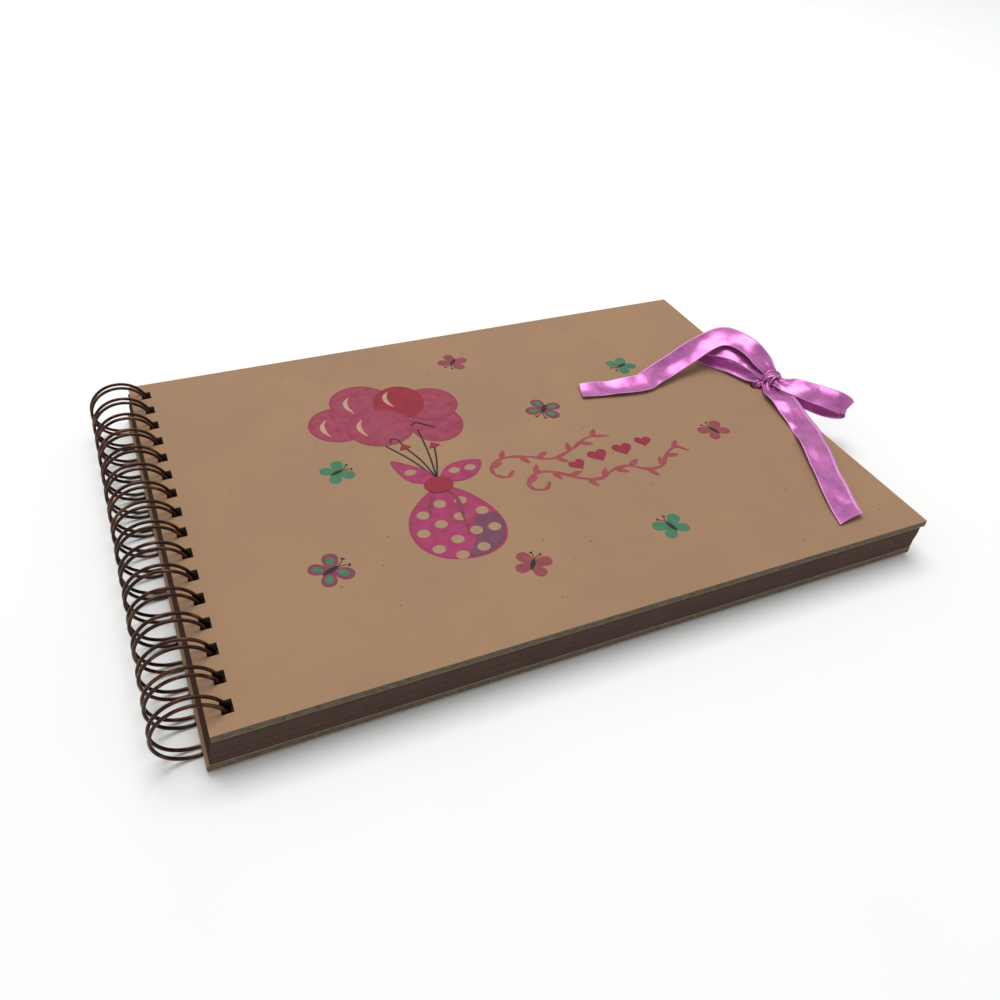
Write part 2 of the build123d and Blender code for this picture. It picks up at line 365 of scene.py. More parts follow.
@dataclass(frozen=True)
class Satin(Finish):
    """Polyester satin ribbon, woven with long floats and a firm selvedge.

    The eye sees broad silky glints, lilac where it faces the light and deep magenta in the
    folds, fine lines along the ribbon, and a tight beaded edge. Slow bands of painted fold
    shade pull the colour towards deep magenta.
    """

    label: str = "pink_satin_woven"
    roughness: float = 0.27
    edge_roughness: float = 0.6
    ior: float = 1.57
    metallic: float = 0.6
    face: str = "#D07ABE"
    deep: str = "#AF559C"
    edge: str = "#D593CA"
    sheen: str = "#F3C8EE"
    # Satin's threads are 0.05 mm apart, too fine to show, so they are drawn five times as coarse.
    thread_mm: float = 0.25
    thread_run: float = 0.04
    thread_deep_mm: float = 0.05
    # How far apart the bands of painted fold shade are.
    painted_fold_shade_mm: float = 9.0
    ribbon_mm: float = 11.0
    selvedge_mm: float = 0.55

    def shade(self, tree: Any, shader: Any) -> None:
        """Threads run along V. U runs across the ribbon, both in metres."""
        uv = add_node(tree, "TexCoord").outputs["UV"]
        parts = add_node(tree, "SeparateXYZ", {0: uv})
        lengthways = add_node(tree, "Mapping",
                              {"Vector": uv, "Scale": (1.0, self.thread_run, 1.0)})
        threads = add_node(tree, "TexNoise",
                           {"Vector": lengthways, "Scale": per_metre(self.thread_mm),
                            "Detail": 2.0})
        # Painted shade: slow noise bands pull the colour towards deep magenta and stand in for the
        # shade in folds.
        painted_fold_shade = add_node(tree, "TexNoise",
                         {"Vector": uv, "Scale": per_metre(self.painted_fold_shade_mm), "Detail": 3.0})
        mixed = add_node(tree, "Math", {0: threads, 1: painted_fold_shade}, operation="MULTIPLY")
        share = add_node(tree, "MapRange", {"Value": mixed, "From Min": 0.12, "From Max": 0.3})
        body = add_node(tree, "Mix", {0: share, 6: linear(self.deep), 7: linear(self.face)},
                        data_type="RGBA")
        half = self.ribbon_mm * MM / 2
        off_middle = add_node(tree, "Math", {0: parts.outputs["X"], 1: half},
                              operation="SUBTRACT")
        outwards = add_node(tree, "Math", {0: off_middle}, operation="ABSOLUTE")
        in_edge = add_node(tree, "MapRange",
                           {"Value": outwards, "From Min": half - self.selvedge_mm * MM,
                            "From Max": half - self.selvedge_mm * MM / 2})
        edged = add_node(tree, "Mix", {0: in_edge, 6: body, 7: linear(self.edge)},
                         data_type="RGBA")
        rough = add_node(tree, "MapRange", {"Value": in_edge, "To Min": self.roughness,
                                            "To Max": self.edge_roughness})
        bump = add_node(tree, "Bump", {"Height": threads, "Strength": 0.35,
                                       "Distance": self.thread_deep_mm * MM})
        feed(tree, shader, {"Base Color": edged, "Roughness": rough, "Normal": bump,
                            "Metallic": self.metallic, "IOR": self.ior, "Anisotropic": 0.55,
                            "Sheen Weight": 0.35, "Sheen Roughness": 0.35,
                            "Sheen Tint": linear(self.sheen)})


@dataclass(frozen=True)
class Ink(Finish):
    """Screen ink in a watercolour tint, printed on kraft.

    The eye sees a matt wash that pools darker at its rim and lets a little paper through.
    """

    label: str = "printed_ink"
    roughness: float = 0.7
    wash: str = "#C7436D"
    pool: str = "#A82F58"
    rim_from: float = 0.78
    bleed_mm: float = 4.0
    grain_mm: float = 0.8
    grain_deep_mm: float = 0.05

    def shade(self, tree: Any, shader: Any) -> None:
        """U is 0 at a shape's middle and 1 at its rim."""
        found = add_node(tree, "TexCoord")
        where = found.outputs["Object"]
        rim = add_node(tree, "SeparateXYZ", {0: found.outputs["UV"]})
        bleed, grain = (
            add_node(tree, "TexNoise",
                     {"Vector": where, "Scale": per_metre(size), "Detail": detail})
            for size, detail in ((self.bleed_mm, 4.0), (self.grain_mm, 2.0)))
        pooled = add_node(tree, "MapRange",
                          {"Value": rim.outputs["X"], "From Min": self.rim_from, "To Max": 0.75})
        cloud = add_node(tree, "MapRange",
                         {"Value": bleed, "From Min": 0.4, "From Max": 0.68, "To Max": 0.8})
        share = add_node(tree, "Math", {0: pooled, 1: cloud}, operation="MAXIMUM")
        colour = add_node(tree, "Mix", {0: share, 6: linear(self.wash), 7: linear(self.pool)},
                          data_type="RGBA")
        bump = add_node(tree, "Bump", {"Height": grain, "Strength": 0.2,
                                       "Distance": self.grain_deep_mm * MM})
        feed(tree, shader, {"Base Color": colour, "Normal": bump,
                            "Roughness": self.roughness, "IOR": self.ior})


@dataclass(frozen=True)
class StudioPaper(Finish):
    """Seamless background paper, calendered.

    The eye sees an even matt white with a trace of tooth.
    """

    label: str = "studio_paper_matt"
    roughness: float = 1.0
    white: str = "#F8F9F9"
    shade_white: str = "#F4F6F6"
    tooth_mm: float = 60.0

    def shade(self, tree: Any, shader: Any) -> None:
        """A plain white with a very slight mottle."""
        where = add_node(tree, "TexCoord").outputs["Object"]
        tooth = add_node(tree, "TexNoise", {"Vector": where, "Scale": per_metre(self.tooth_mm)})
        colour = add_node(tree, "Mix",
                          {0: tooth, 6: linear(self.white), 7: linear(self.shade_white)},
                          data_type="RGBA")
        feed(tree, shader, {"Base Color": colour, "Roughness": self.roughness,
                            "Specular IOR Level": 0.0})


class InkTint(Enum):
    """The printed colours, as name, wash and pool."""

    BALLOON = ("balloon_pink", "#93354D", "#86183C")
    BALLOON_DEEP = ("balloon_crimson", "#900828", "#7C0420")
    GLINT = ("pale_glint", "#B48E77", "#AC866F")
    CORD = ("dark_line", "#100806", "#0A0504")
    ROSE = ("dusty_rose", "#893A43", "#7C2E38")
    TEAL = ("teal_green", "#377353", "#2C6546")
    MAGENTA = ("magenta", "#7E2F48", "#6A1C34")
    CLOTH = ("cloth_pink", "#9C295C", "#8A1848")
    CLOTH_SHADE = ("cloth_mauve", "#6D374E", "#5E2A40")
    BARE = ("bare_dot", "#9E7E61", "#967659")
    FLOURISH = ("flourish_crimson", "#973D45", "#8A2E3A")
    FLOURISH_DEEP = ("flourish_deep", "#8F0C30", "#7C0424")

    def finish(self) -> Ink:
        """The ink of this tint."""
        name, wash, pool = self.value
        return Ink(label=f"printed_ink_{name}", wash=wash, pool=pool)


# ---------------------------------------------------------------- studio


@dataclass
class Studio:
    """The camera, a plain pale floor and soft light."""

    aim_from_spine_mm: float = 131.546
    aim_from_near_mm: float = 74.499
    distance_mm: float = 374.675
    azimuth: float = -26.796
    elevation: float = 39.528
    roll: float = 4.413
    lens_mm: float = 32.337
    sensor_mm: float = 36.0
    floor_m: float = 8.0
    box_place: Point3 = (0.1, 0.8, 2.4)
    box_m: float = 1.7
    box_watts: float = 44.0
    box_colour: str = "#FFFDF9"
    room: float = 0.56
    room_colour: str = "#F9FBFC"

    def place_camera(self) -> None:
        """Stand the camera above the near spine corner, looking over the cover."""
        low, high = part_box("front_cover_outer_liner")
        aim = Vector((low.x + self.aim_from_spine_mm * MM,
                      low.y + self.aim_from_near_mm * MM, high.z))
        turn, lift = math.radians(self.azimuth), math.radians(self.elevation)
        towards = Vector((math.sin(turn) * math.cos(lift),
                          -math.cos(turn) * math.cos(lift), math.sin(lift)))
        data = bpy.data.cameras.new("camera")
        data.lens = self.lens_mm
        data.sensor_width = self.sensor_mm
        data.clip_start = 0.01
        camera = bpy.data.objects.new("camera", data)
        facing = towards.to_track_quat("Z", "Y").to_matrix().to_4x4()
        spin = Matrix.Rotation(math.radians(self.roll), 4, "Z")
        camera.matrix_world = (Matrix.Translation(aim + towards * self.distance_mm * MM)
                               @ facing @ spin)
        bpy.context.scene.collection.objects.link(camera)
        bpy.context.scene.camera = camera

    def lay_floor(self) -> None:
        """A large sheet of white paper, just under the album."""
        half, level = self.floor_m / 2, CAD_BOX[0][2]
        corners = [Vector((x, y, level)) for x, y in
                   ((-half, -half), (half, -half), (half, half), (-half, half))]
        floor = new_object("studio_floor", corners, [(0, 1, 2, 3)], smooth=False)
        StudioPaper().dress(floor)

    def light(self) -> None:
        """A big soft box high up behind the album, and a white room that fills its shadows."""
        data = bpy.data.lights.new("rear_softbox", "AREA")
        data.shape = "SQUARE"
        data.size = self.box_m
        data.energy = self.box_watts
        data.color = linear(self.box_colour)[:3]
        light = bpy.data.objects.new("rear_softbox", data)
        light.location = self.box_place
        light.rotation_euler = Vector(self.box_place).to_track_quat("Z", "Y").to_euler()
        bpy.context.scene.collection.objects.link(light)
        world = bpy.data.worlds.new("white_room")
        world.use_nodes = True
        feed(world.node_tree, world.node_tree.nodes["Background"],
             {"Color": linear(self.room_colour), "Strength": self.room})
        bpy.context.scene.world = world
        bpy.context.scene.view_settings.view_transform = "Standard"

    def build(self) -> None:
        """Set up the whole studio."""
        self.place_camera()
        self.lay_floor()
        self.light()


# ---------------------------------------------------------------- covers and leaves


@dataclass
class Covers:
    """The two covers: grey board with a kraft liner on each face."""

    board_edge_mm: float = 0.18
    liner_edge_mm: float = 0.06
    edge_steps: int = 2

    def soften(self, obj: bpy.types.Object, width_mm: float) -> None:
        """Round a node's cut edges a little, as trimming and handling do.

        Args:
            obj: The node's object.
            width_mm: How wide the rounding is.
        """
        bevel = obj.modifiers.new("worn_edge", "BEVEL")
        bevel.width = width_mm * MM
        bevel.segments = self.edge_steps
        bevel.limit_method = "ANGLE"

    def dress(self) -> None:
        """Give each board and liner its finish and its softened edges."""
        for side in ("back_cover", "front_cover"):
            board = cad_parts[f"{side}_board"]
            GreyBoard().dress(board)
            self.soften(board, self.board_edge_mm)
            for face in ("inner", "outer"):
                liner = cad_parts[f"{side}_{face}_liner"]
                KraftPaper().dress(liner)
                self.soften(liner, self.liner_edge_mm)


@dataclass
class LeafBlock:
    """Thirty dyed card leaves, in a few close shades."""

    seed: int = 11

    def dress(self) -> None:
        """Deal the shades out over the leaves at random."""
        finishes = (
            DyedCard(),
            DyedCard(label="brown_card_dyed_dark", dye="#49332A", deep="#3D2A22"),
            DyedCard(label="brown_card_dyed_warm", dye="#553A2E", deep="#473025"),
        )
        draw = random.Random(self.seed)
        for name, node in sorted(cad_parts.items()):
            if name.startswith("leaf_"):
                draw.choice(finishes).dress(node)


@dataclass
class WireBinding:
    """Twin-loop wire through the punched holes."""

    def dress(self) -> None:
        """Give the wire its coat."""
        CoatedWire().dress(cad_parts["wire_binding"])


# ---------------------------------------------------------------- cover print


def turned(place: Point2, ahead: float, side: float, turn: float) -> Point2:
    """The point so far ahead of a place and to its left, with ahead turned by some radians."""
    return (place[0] + ahead * math.cos(turn) - side * math.sin(turn),
            place[1] + ahead * math.sin(turn) + side * math.cos(turn))


def ring_of(count: int) -> list[float]:
    """Angles evenly round a full turn, in radians."""
    return [2 * math.pi * k / count for k in range(count)]


def ellipse(middle: Point2, wide: float, deep: float, count: int,
            lean: float = 0.0) -> list[Point2]:
    """An ellipse's outline, by its middle, half its width and depth, and its lean in radians."""
    return [turned(middle, wide * math.cos(a), deep * math.sin(a), lean) for a in ring_of(count)]


@dataclass
class CoverPrint:
    """Flat printed motifs on the front cover, each a very thin layer of ink.

    Places are in millimetres on the cover: x from the spine edge, y from the near edge.
    """

    ink_mm: float = 0.02
    layer_mm: float = 0.025
    stroke_pool: float = 0.7
    corner: Vector = field(init=False)

    def __post_init__(self) -> None:
        low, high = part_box("front_cover_outer_liner")
        self.corner = Vector((low.x, low.y, high.z))

    def spot(self, place: Point2, layer: float) -> Vector:
        """A point on the cover, by its place and how many ink layers are under it."""
        return self.corner + Vector((place[0], place[1], layer * self.layer_mm)) * MM

    def finish_piece(self, name: str, points: list[Vector], faces: list[list[int]],
                     uvs: list[Point2], tint: InkTint) -> bpy.types.Object:
        """Make a motif from its closed mesh, ink it and fix it to the cover.

        Args:
            name: The piece's name.
            points: Its points.
            faces: Its faces.
            uvs: A coordinate for each point.
            tint: Its ink.

        Returns:
            The piece.
        """
        obj = new_object(name, points, faces, smooth=False, uvs=uvs)
        tint.finish().dress(obj)
        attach(obj, "front_cover")
        return obj

    def blob(self, name: str, outline: Sequence[Point2], tint: InkTint, layer: float,
             rings: Sequence[float] = (0.0, 0.5, 0.8, 1.0)) -> bpy.types.Object:
        """A filled shape, drawn as rings about its middle so that ink can pool at its rim.

        Args:
            name: The piece's name.
            outline: Its rim, in order, star-shaped about its middle.
            tint: Its ink.
            layer: How many ink layers are under it.
            rings: The rings' shares of the way from the middle to the rim.

        Returns:
            The piece.
        """
        count = len(outline)
        middle = (sum(p[0] for p in outline) / count, sum(p[1] for p in outline) / count)
        points, uvs = [self.spot(middle, layer + 1)], [(0.0, 0.5)]
        for ring in rings[1:]:
            for x, y in outline:
                place = (middle[0] + (x - middle[0]) * ring, middle[1] + (y - middle[1]) * ring)
                points.append(self.spot(place, layer + 1))
                uvs.append((ring, 0.5))
        faces = [[0, 1 + i, 1 + (i + 1) % count] for i in range(count)]
        for k in range(len(rings) - 2):
            start = 1 + k * count
            for i in range(count):
                j = (i + 1) % count
                faces.append([start + i, start + count + i, start + count + j, start + j])
        self.close_under(points, faces, uvs, list(range(len(points) - count, len(points))))
        return self.finish_piece(name, points, faces, uvs, tint)

    def close_under(self, points: list[Vector], faces: list[list[int]], uvs: list[Point2],
                    rim: list[int]) -> None:
        """Give a flat face a side wall and an underside, so that it is a closed solid.

        Args:
            points: The face's points, added to here.
            faces: The face, added to here.
            uvs: A coordinate for each point, added to here.
            rim: The rim's points in order.
        """
        first = len(points)
        for place in rim:
            points.append(points[place] - Vector((0, 0, self.ink_mm * MM)))
            uvs.append((1.0, 0.5))
        count = len(rim)
        for i in range(count):
            j = (i + 1) % count
            faces.append([rim[i], first + i, first + j, rim[j]])
        faces.append([first + i for i in reversed(range(count))])

    def stroke(self, name: str, path: Sequence[Point2], width: Callable[[float], float],
               tint: InkTint, layer: float) -> bpy.types.Object:
        """A brush or pen stroke along a line.

        Args:
            name: The piece's name.
            path: Points that the stroke passes through.
            width: Its width in millimetres by the share of the way along.
            tint: Its ink.
            layer: How many ink layers are under it.

        Returns:
            The piece.
        """
        line = through([Vector((x, y, 0)) for x, y in path], 8)
        left, right = [], []
        for i, point in enumerate(line):
            ahead = line[min(i + 1, len(line) - 1)] - line[max(i - 1, 0)]
            side = Vector((-ahead.y, ahead.x, 0)).normalized() * width(i / (len(line) - 1)) / 2
            left.append((point.x + side.x, point.y + side.y))
            right.append((point.x - side.x, point.y - side.y))
        points = [self.spot(p, layer + 1) for p in right + left[::-1]]
        uvs = [(self.stroke_pool, 0.5)] * len(points)
        n = len(line)
        faces = [[i, i + 1, 2 * n - 2 - i, 2 * n - 1 - i] for i in range(n - 1)]
        self.close_under(points, faces, uvs, list(range(2 * n)))
        return self.finish_piece(name, points, faces, uvs, tint)

    def balloons(self) -> None:
        """A bunch of six balloons with glints, on strings."""
        lean = math.radians(-18.0)
        bunch = (
            ((126.4, 134.9), 12.4, 14.0, InkTint.BALLOON),
            ((84.2, 148.7), 14.0, 13.6, InkTint.BALLOON),
            ((98.5, 162.8), 14.6, 14.0, InkTint.BALLOON),
            ((129.0, 151.6), 13.5, 13.4, InkTint.BALLOON),
            ((115.5, 157.0), 12.0, 14.0, InkTint.BALLOON_DEEP),
            ((101.1, 140.4), 15.2, 14.4, InkTint.BALLOON),
        )
        glints = (None, (78.0, 147.0), (93.0, 161.8), None, (112.0, 160.6), (93.6, 142.0))
        for i, ((middle, wide, deep, tint), glint) in enumerate(zip(bunch, glints)):
            self.blob(f"print_balloon_{i + 1}", ellipse(middle, wide, deep, 40, lean), tint, i)
            if glint:
                path = [(glint[0] + 1.4, glint[1] + 7.0), (glint[0] - 1.2, glint[1] + 3.2),
                        (glint[0] - 1.6, glint[1] - 1.4), (glint[0] + 0.2, glint[1] - 6.6)]
                self.stroke(f"print_balloon_glint_{i + 1}", path,
                            lambda s: 0.2 + 2.0 * math.sin(math.pi * s), InkTint.GLINT, i + 0.4)
        knot = (112.0, 96.5)
        for i, tail in enumerate(((98.8, 125.9), (107.0, 121.0), (116.5, 133.3), (118.9, 118.0))):
            mid = ((tail[0] + knot[0]) / 2 + 0.8, (tail[1] + knot[1]) / 2 + 1.0)
            self.stroke(f"print_string_{i + 1}", [tail, mid, knot], lambda s: 0.75,
                        InkTint.CORD, 6)
        for i, (x, y) in enumerate(((106.4, 122.4), (119.2, 119.6))):
            outline = [(x - 2.8, y - 1.6), (x - 0.4, y + 2.6),
                       (x + 3.0, y - 0.4), (x + 0.4, y - 1.6)]
            self.blob(f"print_balloon_tie_{i + 1}", outline, InkTint.BALLOON_DEEP, 7)
        curls = ([(114.6, 137.0), (117.2, 138.9), (121.0, 136.0), (124.6, 132.6)],
                 [(101.6, 127.2), (102.6, 130.0), (105.2, 128.6), (106.2, 124.6)])
        for i, curl in enumerate(curls):
            self.stroke(f"print_string_curl_{i + 1}", curl, lambda s: 0.7, InkTint.CORD, 8)

    def parcel(self) -> None:
        """A round polka-dot parcel, gathered at its neck, hanging from the strings."""
        body = [(111.5, 92.0), (118.5, 87.0), (124.0, 78.5), (127.6, 68.5), (127.6, 58.5),
                (123.0, 50.0), (114.5, 46.0), (104.5, 46.5), (96.0, 50.5), (90.5, 58.0),
                (89.5, 67.5), (92.5, 77.0), (99.0, 84.5), (106.0, 89.8)]
        self.blob("print_parcel", through_closed(body, 5), InkTint.CLOTH, 0)
        shade = [(118.0, 68.5), (127.0, 67.5), (127.0, 58.5), (122.4, 50.8), (114.5, 46.9),
                 (107.0, 47.2), (112.0, 54.5), (115.5, 61.5)]
        self.blob("print_parcel_shade", through_closed(shade, 4), InkTint.CLOTH_SHADE, 1)
        dots = ((98.0, 76.0), (107.0, 80.5), (116.0, 80.0), (94.5, 65.5), (103.0, 68.5),
                (112.0, 70.5), (122.0, 71.0), (97.0, 55.0), (106.0, 58.0), (115.0, 60.5),
                (122.8, 60.0), (104.5, 49.0), (114.0, 50.5))
        self.dots("print_parcel_dot", dots, 2.7, 2.5, 2)
        folds = ([(112.5, 91.0), (115.0, 83.0), (114.0, 73.0), (112.0, 60.0)],
                 [(109.5, 90.0), (104.0, 83.0), (100.5, 74.0)])
        for i, path in enumerate(folds):
            self.stroke(f"print_parcel_fold_{i + 1}", path,
                        lambda s: 0.5 + 1.5 * math.sin(math.pi * s), InkTint.MAGENTA, 3)
        ears = ([(110.5, 95.0), (103.0, 96.5), (98.5, 102.5), (97.0, 114.4), (104.5, 109.0),
                 (110.0, 102.5)],
                [(113.0, 95.5), (118.5, 103.0), (126.0, 105.0), (134.6, 102.6), (129.5, 94.5),
                 (121.0, 92.0)])
        for i, ear in enumerate(ears):
            self.blob(f"print_parcel_ear_{i + 1}", through_closed(ear, 5), InkTint.CLOTH, 7)
        self.dots("print_ear_dot", ((102.6, 104.2), (121.0, 99.5), (128.2, 99.2)), 2.6, 2.0, 8)
        self.blob("print_parcel_knot", ellipse((111.2, 92.6), 6.4, 5.4, 20),
                  InkTint.BALLOON_DEEP, 9)

    def dots(self, name: str, places: Sequence[Point2], wide: float, deep: float,
             layer: float) -> None:
        """Round dots left bare, as the paper's own colour.

        Args:
            name: The start of the pieces' names.
            places: Their middles.
            wide: Half their width, in millimetres.
            deep: Half their depth, in millimetres.
            layer: How many ink layers are under them.
        """
        for i, place in enumerate(places):
            self.blob(f"{name}_{i + 1:02d}", ellipse(place, wide, deep, 18), InkTint.BARE, layer)

    def butterfly(self, index: int, place: Point2, heading: float, tint: InkTint,
                  inner: InkTint | None, size: float) -> None:
        """A four-winged butterfly with a dark body and two dotted feelers.

        Args:
            index: Its number, for its pieces' names.
            place: Its middle on the cover.
            heading: Its head's direction, in degrees from the fore-edge.
            tint: Its wings' ink.
            inner: The ink of a spot in each wing, or none.
            size: Its size against 13 mm across.
        """
        turn = math.radians(heading)

        def put(ahead: float, side: float) -> Point2:
            """A point by its distance ahead of the middle and to its left."""
            return (place[0] + size * (ahead * math.cos(turn) - side * math.sin(turn)),
                    place[1] + size * (ahead * math.sin(turn) + side * math.cos(turn)))

        def petal(root: Point2, reach: float, wide: float, way: float) -> list[Point2]:
            """A rounded wing from its root, by its reach, width and direction in degrees."""
            rim = []
            for a in ring_of(24):
                along = reach * (0.5 - 0.5 * math.cos(a))
                out = wide / 2 * math.sin(a) * (0.55 + 0.45 * along / reach)
                rim.append(put(*turned(root, along, out, math.radians(way))))
            return rim

        wings = ((62.0, 8.2, 7.2), (-62.0, 8.2, 7.2), (128.0, 7.6, 6.8), (-128.0, 7.6, 6.8))
        for k, (way, reach, wide) in enumerate(wings):
            root = (0.6 if k < 2 else -0.6, 0.0)
            name = f"print_butterfly_{index}_wing_{k + 1}"
            self.blob(name, petal(root, reach, wide, way), tint, k * 0.2)
            if inner is not None:
                start = turned(root, 2.0, 0.0, math.radians(way))
                self.blob(f"{name}_spot", petal(start, reach * 0.52, wide * 0.5, way), inner, 1.4)
        self.stroke(f"print_butterfly_{index}_body", [put(3.2, 0), put(0, 0), put(-3.4, 0)],
                    lambda s: size * (0.6 + 1.5 * math.sin(math.pi * s)), InkTint.CORD, 2.6)
        for side in (1, -1):
            tip = put(6.8, 2.2 * side)
            self.stroke(f"print_butterfly_{index}_feeler_{'left' if side > 0 else 'right'}",
                        [put(3.0, 0.1 * side), put(5.0, 0.9 * side), tip],
                        lambda s: 0.35 if s < 0.85 else 1.5 * size, InkTint.CORD, 2.8)

    def butterflies(self) -> None:
        """Eight butterflies, scattered round the middle."""
        flight = (
            ((153.6, 183.3), 230.0, InkTint.ROSE, None), ((248.0, 87.4), 108.0, InkTint.ROSE, None),
            ((127.8, 34.8), 55.0, InkTint.ROSE, None), ((235.2, 152.8), 201.0, InkTint.TEAL, None),
            ((191.1, 35.2), 105.0, InkTint.TEAL, None), ((73.5, 114.9), 20.0, InkTint.TEAL, None),
            ((179.0, 129.7), 234.0, InkTint.MAGENTA, InkTint.TEAL),
            ((54.8, 58.2), 22.0, InkTint.MAGENTA, InkTint.TEAL),
        )
        for i, (place, heading, tint, inner) in enumerate(flight):
            self.butterfly(i + 1, place, heading, tint, inner, 1.1 if inner else 0.95)

    def heart(self, name: str, place: Point2, size: float, turn: float, tint: InkTint,
              layer: float) -> None:
        """A small heart.

        Args:
            name: The piece's name.
            place: Its middle.
            size: Its width, in millimetres.
            turn: How far it leans, in degrees.
            tint: Its ink.
            layer: How many ink layers are under it.
        """
        rim = []
        for a in ring_of(32):
            # The well-known heart curve, 32 units wide.
            x = math.sin(a) ** 3 * size / 2
            y = (13 * math.cos(a) - 5 * math.cos(2 * a) - 2 * math.cos(3 * a)
                 - math.cos(4 * a)) * size / 32
            rim.append(turned(place, x, y, math.radians(turn)))
        self.blob(name, rim, tint, layer)

    def scroll(self, name: str, path: Sequence[Point2], layer: float) -> None:
        """A pen scroll with leaves on either side in turn.

        Args:
            name: The start of its pieces' names.
            path: Points that the scroll passes through.
            layer: How many ink layers are under it.
        """
        self.stroke(name, path, lambda s: 1.2 + 0.9 * math.sin(9 * math.pi * s) ** 2,
                    InkTint.FLOURISH, layer)
        leaf_gap, leaf_lean, leaf_layers = 7.6, 48, 2.3
        line = evenly(through([Vector((x, y, 0)) for x, y in path], 8), leaf_gap)
        for k, point in enumerate(line[2:-1]):
            way = math.atan2(line[k + 3].y - line[k + 1].y, line[k + 3].x - line[k + 1].x)
            way += math.radians(leaf_lean if k % 2 else -leaf_lean)
            rim = []
            for a in ring_of(16):
                along = 0.6 + 2.9 * (1 - math.cos(a))
                out = 1.5 * math.sin(a) * (1.2 - 0.1 * along)
                rim.append(turned((point.x, point.y), along, out, way))
            self.blob(f"{name}_leaf_{k + 1:02d}", rim, InkTint.FLOURISH, layer + leaf_layers)

    def flourish(self) -> None:
        """Leafy pen scrolls and hearts where a title would be."""
        scrolls = (
            [(145.5, 91.0), (141.0, 87.5), (136.5, 91.0), (138.0, 97.5), (146.0, 100.5),
             (156.0, 97.5), (165.0, 93.0), (176.0, 96.0), (188.0, 102.0), (198.0, 100.0)],
            [(157.0, 78.5), (153.0, 74.5), (148.0, 76.5), (148.5, 82.5), (155.5, 86.0),
             (163.0, 83.0), (171.0, 76.0), (179.0, 73.0), (187.0, 76.5), (195.0, 77.0),
             (202.0, 72.0), (210.0, 72.0), (216.0, 78.5), (223.0, 82.0), (227.5, 77.5)],
        )
        for i, path in enumerate(scrolls):
            self.scroll(f"print_scroll_{i + 1}", path, 0.2 + i)
        hearts = (((174.0, 85.5), 8.0, 12.0), ((186.0, 88.5), 9.5, 4.0),
                  ((199.0, 89.0), 9.5, -4.0), ((211.0, 91.0), 8.0, -12.0))
        for i, (place, size, lean) in enumerate(hearts):
            self.heart(f"print_heart_{i + 1}", place, size, lean, InkTint.FLOURISH_DEEP, 4.6)

    def build(self) -> None:
        """Print everything."""
        self.balloons()
        self.parcel()
        self.butterflies()
        self.flourish()


# ---------------------------------------------------------------- smooth lines


def through(points: Sequence[Vector], steps: int) -> list[Vector]:
    """A smooth line through points, as many short runs.

    Args:
        points: The points, at least two.
        steps: How many runs there are between two points.

    Returns:
        The line's points, the first and last of them the ends.
    """
    ends = [points[0] * 2 - points[1], *points, points[-1] * 2 - points[-2]]
    line = []
    for i in range(1, len(ends) - 2):
        a, b, c, d = ends[i - 1 : i + 3]
        for k in range(steps):
            t = k / steps
            line.append(0.5 * ((2 * b) + (c - a) * t + (2 * a - 5 * b + 4 * c - d) * t * t
                               + (3 * b - a - 3 * c + d) * t**3))
    line.append(points[-1].copy())
    return line


def through_closed(points: Sequence[Point2], steps: int) -> list[Point2]:
    """A smooth closed outline through points.

    Args:
        points: The points, in order.
        steps: How many runs there are between two points.

    Returns:
        The outline, with no point twice.
    """
    round_trip = [Vector((x, y, 0)) for x, y in (*points[-2:], *points, *points[:2])]
    line = through(round_trip, steps)
    return [(p.x, p.y) for p in line[2 * steps : -(1 + steps)]]


def evenly(line: Sequence[Vector], gap: float) -> list[Vector]:
    """The same line with its points evenly apart.

    Args:
        line: The line's points.
        gap: About how far apart the new ones are.

    Returns:
        The new points, ends included.
    """
    reach = [0.0]
    for a, b in zip(line, line[1:]):
        reach.append(reach[-1] + (b - a).length)
    count = max(int(reach[-1] / gap), 2)
    spaced, k = [], 0
    for i in range(count + 1):
        want = reach[-1] * i / count
        while k < len(reach) - 2 and reach[k + 1] < want:
            k += 1
        share = (want - reach[k]) / max(reach[k + 1] - reach[k], 1e-12)
        spaced.append(line[k].lerp(line[k + 1], share))
    return spaced


# ---------------------------------------------------------------- ribbon


def bow_corner() -> Vector:
    """The bow's zero point: the fore-edge, in mid-album, on top of the front cover."""
    _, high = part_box("front_cover_outer_liner")
    return Vector((high.x, 0.0, high.z))


class Pinch(Enum):
    """Which ends of a run of ribbon are gathered into the knot."""

    NEITHER = (False, False)
    START = (True, False)
    BOTH = (True, True)


